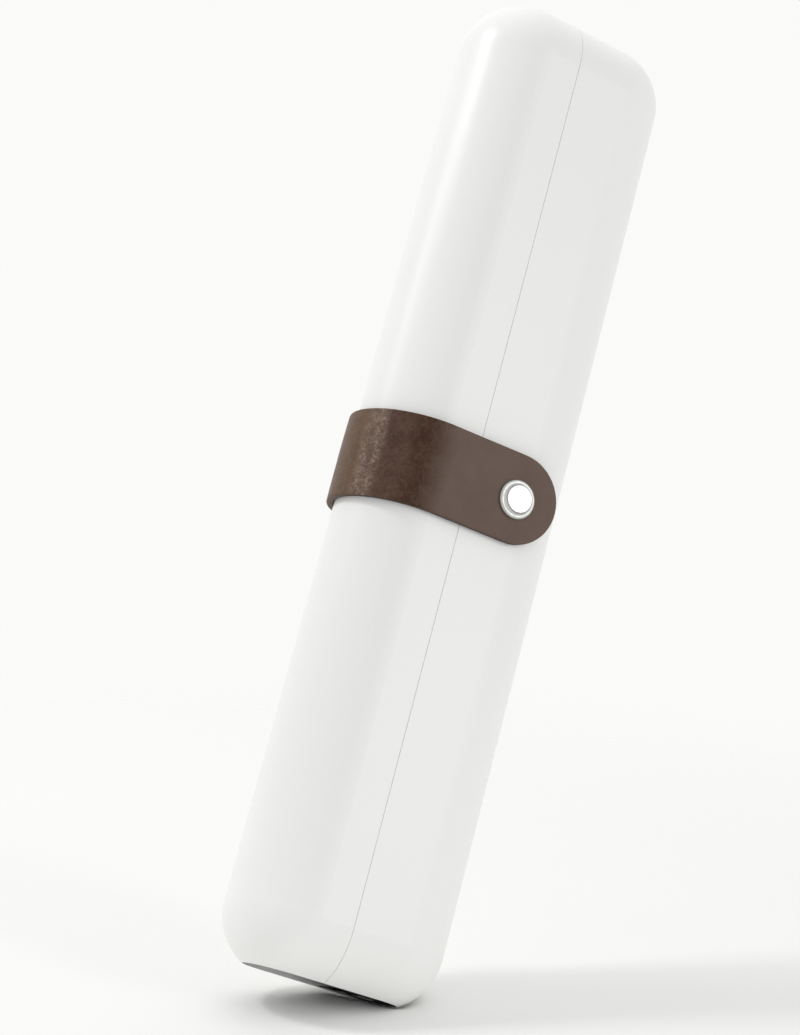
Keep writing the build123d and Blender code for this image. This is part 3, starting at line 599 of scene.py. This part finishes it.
def strap_grid(inset):
    """Plan of the strap in along and across lengths, drawn in by inset, as rows of points."""
    half = STRAP_HALF - inset
    rows = []
    for j in range(ACROSS_STEPS + 1):
        angle = -math.pi / 2 + math.pi * j / ACROSS_STEPS
        across = half * math.sin(angle)
        end = STRAP_LENGTH + half * math.cos(angle)
        rows.append([(inset + (end - inset) * i / ALONG_STEPS, across) for i in range(ALONG_STEPS + 1)])
    return rows


def around(rows):
    """Outer entries of a grid of rows, once around."""
    ends = [row[-1] for row in rows[1:]]
    starts = [row[0] for row in rows[-2:0:-1]]
    return rows[0] + ends + rows[-1][-2::-1] + starts


class StrapMesh:
    """Points of the leather with their places on it, and faces with their slots."""

    def __init__(self):
        self.points, self.places, self.faces, self.slots = [], [], [], []

    def add_row(self, row, height):
        """Points at a height above the inner face; returns their numbers."""
        start = len(self.points)
        self.points.extend(strap_point(along, across, height) for along, across in row)
        self.places.extend((BEND_END - along, across, height) for along, across in row)
        return list(range(start, len(self.points)))

    def add_face(self, corners, slot):
        """One face and its slot."""
        self.faces.append(corners)
        self.slots.append(slot)

    def add_sheet(self, inset, height, turned):
        """Whole inner or outer face of the leather; returns the numbers around it."""
        rows = [self.add_row(row, height) for row in strap_grid(inset)]
        for low, high in zip(rows, rows[1:]):
            for i in range(ALONG_STEPS):
                corners = (low[i], low[i + 1], high[i + 1], high[i])
                self.add_face(corners[::-1] if turned else corners, LEATHER_SLOT)
        return around(rows)

    def add_loop(self, inset, height):
        """One turn of points round the cut edge; returns their numbers."""
        return self.add_row(around(strap_grid(inset)), height)

    def join(self, first, second, slot):
        """Faces between two turns of points."""
        for i, start in enumerate(first):
            k = (i + 1) % len(first)
            self.add_face((start, first[k], second[k], second[i]), slot)


def strap():
    """One piece of leather from the rivets round the nose to the round tip."""
    mesh = StrapMesh()
    loops = [mesh.add_sheet(EDGE_ROUND, 0.0, turned=True)]
    for step in range(1, EDGE_STEPS + 1):
        angle = math.pi / 2 * step / EDGE_STEPS
        loops.append(mesh.add_loop(EDGE_ROUND * (1 - math.sin(angle)), EDGE_ROUND * (1 - math.cos(angle))))
    for step in range(EDGE_STEPS):
        angle = math.pi / 2 * step / EDGE_STEPS
        loops.append(mesh.add_loop(EDGE_ROUND * (1 - math.cos(angle)),
                                   STRAP_THICKNESS - EDGE_ROUND * (1 - math.sin(angle))))
    loops.append(mesh.add_sheet(EDGE_ROUND, STRAP_THICKNESS, turned=False))
    for index, (first, second) in enumerate(zip(loops, loops[1:])):
        mesh.join(first, second, LEATHER_SLOT if index > EDGE_STEPS else EDGE_SLOT)
    item = make_piece("strap", mesh.points, mesh.faces, STRAP_SLOTS, mesh.slots)
    place = item.data.attributes.new("strap_place", "FLOAT_VECTOR", "POINT")
    place.data.foreach_set("vector", [value for point in mesh.places for value in point])
    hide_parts("strap_band", "strap_tab")
    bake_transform(item)


# Clasp: sizes of its turned profile

CAP_PLAY = 0.06 * MM
CAP_RADIUS = (cap_high.z - cap_low.z) / 2 - CAP_PLAY
CAP_HEIGHT = cap_high.x - tab_high.x
POST_RADIUS = 1.1 * MM
POST_DEPTH = 0.3 * MM
FOOT_BEVEL = 0.08 * MM
RIM_ROUND = 0.50 * MM
RIM_HEIGHT = 0.62 * MM
RIM_STEPS = 10
GROOVE_WIDTH = 0.06 * MM
GROOVE_DEPTH = 0.03 * MM
WALL_FOOT = 3.22 * MM
WALL_TOP = 2.86 * MM
TOP_ROUND = 0.22 * MM
TOP_STEPS = 6
TOP_RINGS = (0.97, 0.93, 0.5)
TURN_STEPS = 96

# Clasp: its three materials, one metal whose darker copies on the shoulder and rim are painted shade, and how
# many steps of the profile the shoulder takes
CLASP_SLOTS = ("clasp_metal", "clasp_shoulder_shade", "clasp_rim_shade")
TOP_SLOT, SHOULDER_SLOT, RIM_SLOT = range(3)
SHOULDER_STEPS = 4


def quarter_round(radius, height, size, steps):
    """Points of a profile from an upright side over a rounded edge to a flat top."""
    points = []
    for step in range(steps + 1):
        angle = math.pi / 2 * step / steps
        points.append((radius - size * (1 - math.cos(angle)), height - size * (1 - math.sin(angle))))
    return points


def lathe(name, profile, origin, axis, slots, step_slots):
    """Turned piece: profile holds radius and height points, step_slots the slot between each two of them."""
    turn = Vector((0, 0, 1)).rotation_difference(axis).to_matrix()
    points, faces, face_slots, rings = [], [], [], []
    for radius, height in profile:
        count = TURN_STEPS if radius > 0 else 1
        rings.append(range(len(points), len(points) + count))
        for k in range(count):
            angle = 2 * math.pi * k / TURN_STEPS
            place = Vector((radius * math.cos(angle), radius * math.sin(angle), height))
            points.append(origin + turn @ place)
    for low, high, slot in zip(rings, rings[1:], step_slots):
        for k in range(TURN_STEPS):
            n = (k + 1) % TURN_STEPS
            if len(low) == 1:
                faces.append((low[0], high[k], high[n]))
            elif len(high) == 1:
                faces.append((low[k], low[n], high[0]))
            else:
                faces.append((low[k], low[n], high[n], high[k]))
            face_slots.append(slot)
    return make_piece(name, points, faces, slots, face_slots)


def clasp():
    """Cap of the clasp with a rolled rim, a steep shoulder and a flat top; rim and shoulder take darker
    copies of its metal as painted shade.
    """
    rim = [(0.0, -POST_DEPTH), (POST_RADIUS, -POST_DEPTH), (POST_RADIUS, 0.0)]
    rim += [(CAP_RADIUS - FOOT_BEVEL, 0.0), (CAP_RADIUS, FOOT_BEVEL)]
    rim += quarter_round(CAP_RADIUS, RIM_HEIGHT, RIM_ROUND, RIM_STEPS)
    rim += [(WALL_FOOT + GROOVE_WIDTH, RIM_HEIGHT - GROOVE_DEPTH), (WALL_FOOT, RIM_HEIGHT)]
    top = quarter_round(WALL_TOP, CAP_HEIGHT, TOP_ROUND, TOP_STEPS)
    top += [((WALL_TOP - TOP_ROUND) * share, CAP_HEIGHT) for share in TOP_RINGS]
    top.append((0.0, CAP_HEIGHT))
    step_slots = [RIM_SLOT] * (len(rim) - 1) + [SHOULDER_SLOT] * SHOULDER_STEPS
    step_slots += [TOP_SLOT] * (len(top) - SHOULDER_STEPS)
    centre = (cap_low + cap_high) / 2
    origin = Vector((tab_high.x, centre.y, centre.z))
    item = lathe("clasp_cap_turned", rim + top, origin, Vector((1, 0, 0)), CLASP_SLOTS, step_slots)
    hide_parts("clasp_cap")
    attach(item, "strap_end")


strap()
clasp()

# Floor: tilted in the shared frame, because the case leans in the photograph, and dented where the case rests

FLOOR_PITCH = math.radians(7.2)
FLOOR_ROLL = math.radians(4.4)
LEVEL = UP * math.cos(FLOOR_PITCH) + BACK * math.sin(FLOOR_PITCH)
FLOOR_NORMAL = (LEVEL * math.cos(FLOOR_ROLL) + RIGHT * math.sin(FLOOR_ROLL)).normalized()
FLOOR_RADIUS = 0.36
FLOOR_FADE_START = 0.10
FLOOR_DARK = (0.922, 0.922, 0.909)
FLOOR_LIGHT = (0.928, 0.928, 0.915)
FLOOR_ROUGH = 0.7
FLOOR_SPECULAR = 0.15

# The flat floor lies above the case's lowest point, and its dents keep clear of the case
FLOOR_LIFT = 2.3 * MM
FLOOR_CLEARANCE = 0.10 * MM
DENT_CORE = 0.6 * MM
DENT_REACH = 4 * MM
DENTED_RADIUS = 60 * MM

# Rays up from below the floor find the case within this distance of the resting point
OUTER_PIECES = ("rear_shell", "front_shell", "base_plate", "lid_base_plate")
TOUCH_RADIUS = 40 * MM
RAY_START = 8 * MM
RAY_LENGTH = 12 * MM

# Rings of the floor's mesh: evenly spaced by the case, wider and wider beyond
FLOOR_STEPS = 144
FINE_PITCH = 1.2 * MM
FINE_RINGS = 35
FINE_END = FINE_PITCH * FINE_RINGS
COARSE_RINGS = 16


def case_surface():
    """Outer pieces of the case as one tree for ray tests, and their lowest point along the floor's normal."""
    points, polygons = [], []
    for name in OUTER_PIECES:
        start = len(points)
        mesh = nodes[name].data
        points.extend(vertex.co.copy() for vertex in mesh.vertices)
        polygons.extend([start + index for index in face.vertices] for face in mesh.polygons)
    lowest = min(points, key=lambda point: point.dot(FLOOR_NORMAL))
    return BVHTree.FromPolygons(points, polygons), lowest


def floor_material():
    """Pale floor that thins out towards its rim and shows nothing from below."""
    material, tree, shader = new_material("floor_pale")
    vector = object_coordinates(tree)
    cloud = noise_field(tree, vector, scale=6.0, detail=2.0)
    tree.links.new(two_tone(tree, cloud, FLOOR_DARK, FLOOR_LIGHT), shader.inputs["Base Color"])
    shader.inputs["Roughness"].default_value = FLOOR_ROUGH
    shader.inputs["Specular IOR Level"].default_value = FLOOR_SPECULAR
    distance = tree.nodes.new("ShaderNodeVectorMath")
    distance.operation = "LENGTH"
    tree.links.new(vector, distance.inputs[0])
    fade = spread(tree, distance.outputs["Value"], FLOOR_FADE_START, FLOOR_RADIUS, 1.0, 0.0, "SMOOTHSTEP")
    side = tree.nodes.new("ShaderNodeNewGeometry")
    above = combine(tree, "SUBTRACT", 1.0, side.outputs["Backfacing"])
    tree.links.new(combine(tree, "MULTIPLY", fade, above), shader.inputs["Alpha"])
    return material


def floor_plan():
    """Flat points of the floor, ring by ring from its middle, and its faces."""
    radii = [FINE_PITCH * k for k in range(1, FINE_RINGS + 1)]
    radii += [FINE_END * (FLOOR_RADIUS / FINE_END) ** (k / COARSE_RINGS) for k in range(1, COARSE_RINGS + 1)]
    points = [Vector((0, 0, 0))]
    for radius in radii:
        for k in range(FLOOR_STEPS):
            angle = 2 * math.pi * k / FLOOR_STEPS
            points.append(Vector((radius * math.cos(angle), radius * math.sin(angle), 0)))
    faces = [(0, 1 + k, 1 + (k + 1) % FLOOR_STEPS) for k in range(FLOOR_STEPS)]
    for ring in range(len(radii) - 1):
        low = 1 + ring * FLOOR_STEPS
        high = low + FLOOR_STEPS
        for k in range(FLOOR_STEPS):
            n = (k + 1) % FLOOR_STEPS
            faces.append((low + k, high + k, high + n, low + n))
    return points, faces


def floor_needs(points, tree, origin, turn):
    """Points of the flat floor that the case would come through, each with how far it has to go down."""
    needs = []
    for point in points:
        if point.length < TOUCH_RADIUS:
            below = origin + turn @ point - FLOOR_NORMAL * RAY_START
            distance = tree.ray_cast(below, FLOOR_NORMAL, RAY_LENGTH)[3]
            if distance is not None and distance < RAY_START + FLOOR_CLEARANCE:
                needs.append((point, RAY_START + FLOOR_CLEARANCE - distance))
    return needs


def smooth_fall(distance, near, far):
    """1 up to near, 0 from far on, smooth between."""
    share = min(max((far - distance) / (far - near), 0.0), 1.0)
    return share * share * (3 - 2 * share)


def dent_depth(point, needs):
    """Depth of the floor's dents at a point: the most that any need within reach asks for."""
    depth = 0.0
    if point.length < DENTED_RADIUS:
        for place, need in needs:
            distance = (point - place).length
            if distance < DENT_REACH:
                depth = max(depth, need * smooth_fall(distance, DENT_CORE, DENT_REACH))
    return depth


def floor():
    """Round sheet under the case, dented where the case rests, with its origin over the resting point."""
    tree, lowest = case_surface()
    origin = lowest + FLOOR_NORMAL * FLOOR_LIFT
    turn = Vector((0, 0, 1)).rotation_difference(FLOOR_NORMAL)
    flat, faces = floor_plan()
    needs = floor_needs(flat, tree, origin, turn)
    points = [point - Vector((0, 0, dent_depth(point, needs))) for point in flat]
    item = mesh_object("floor", points, faces)
    item.location = origin
    item.rotation_mode = "QUATERNION"
    item.rotation_quaternion = turn
    item.data.materials.append(floor_material())


floor()

# Lights and world

# Lamps: name, place, width, height, power, and whether the polish of the object mirrors it
LAMPS = (
    ("key", (-0.45, 0.62, 0.06), 0.10, 0.10, 1.35, True),
    ("left_front", (-0.62, 0.50, 0.00), 0.14, 0.14, 0.40, True),
    ("right_front", (0.83, 0.19, 0.55), 0.30, 0.50, 1.37, True),
    ("right_side", (0.98, 0.10, 0.05), 0.30, 0.80, 0.18, True),
    ("overhead", (0.05, 0.92, -0.45), 0.90, 0.90, 1.90, False),
)
WORLD_LIGHT = 0.672
WORLD_SEEN = (0.960, 0.960, 0.945)


def studio(right, up, back):
    """A place in metres from the case's centre: along the photograph's right, up and towards the camera."""
    return CENTRE + RIGHT * right + UP * up + BACK * back


def area_light(name, place, width, height, power, mirrored):
    """Soft rectangular lamp that faces the case's centre."""
    data = bpy.data.lights.new(name, "AREA")
    data.shape = "RECTANGLE"
    data.size = width
    data.size_y = height
    data.energy = power
    item = place_object(name, data)
    item.location = studio(*place)
    back = (item.location - CENTRE).normalized()
    side = UP.cross(back).normalized()
    top = back.cross(side)
    item.rotation_mode = "QUATERNION"
    item.rotation_quaternion = Matrix((side, top, back)).transposed().to_quaternion()
    item.visible_glossy = mirrored


def world():
    """Pale surroundings: even light on the object, near white where they are seen."""
    data = bpy.data.worlds.new("studio")
    data.use_nodes = True
    tree = data.node_tree
    tree.nodes.clear()
    output = tree.nodes.new("ShaderNodeOutputWorld")
    seen = tree.nodes.new("ShaderNodeBackground")
    light = tree.nodes.new("ShaderNodeBackground")
    mix = tree.nodes.new("ShaderNodeMixShader")
    path = tree.nodes.new("ShaderNodeLightPath")
    seen.inputs["Color"].default_value = (*WORLD_SEEN, 1.0)
    seen.inputs["Strength"].default_value = 1.0
    light.inputs["Color"].default_value = (1.0, 1.0, 1.0, 1.0)
    light.inputs["Strength"].default_value = WORLD_LIGHT
    either = combine(tree, "MAXIMUM", path.outputs["Is Camera Ray"], path.outputs["Is Glossy Ray"])
    any_seen = combine(tree, "MAXIMUM", either, path.outputs["Is Transmission Ray"])
    sources = (any_seen, light.outputs["Background"], seen.outputs["Background"])
    for source, socket in zip(sources, mix.inputs):
        tree.links.new(source, socket)
    tree.links.new(mix.outputs["Shader"], output.inputs["Surface"])
    bpy.context.scene.world = data


def camera():
    """Camera at the photograph's place."""
    data = bpy.data.cameras.new("camera")
    data.lens = CAMERA_LENS
    data.clip_start = CAMERA_NEAR
    data.clip_end = CAMERA_FAR
    item = place_object("camera", data)
    item.location = CAMERA_PLACE
    item.rotation_mode = "XYZ"
    item.rotation_euler = CAMERA_TURN
    bpy.context.scene.camera = item


for lamp in LAMPS:
    area_light(*lamp)
world()
camera()
bpy.context.scene.view_settings.view_transform = "Standard"
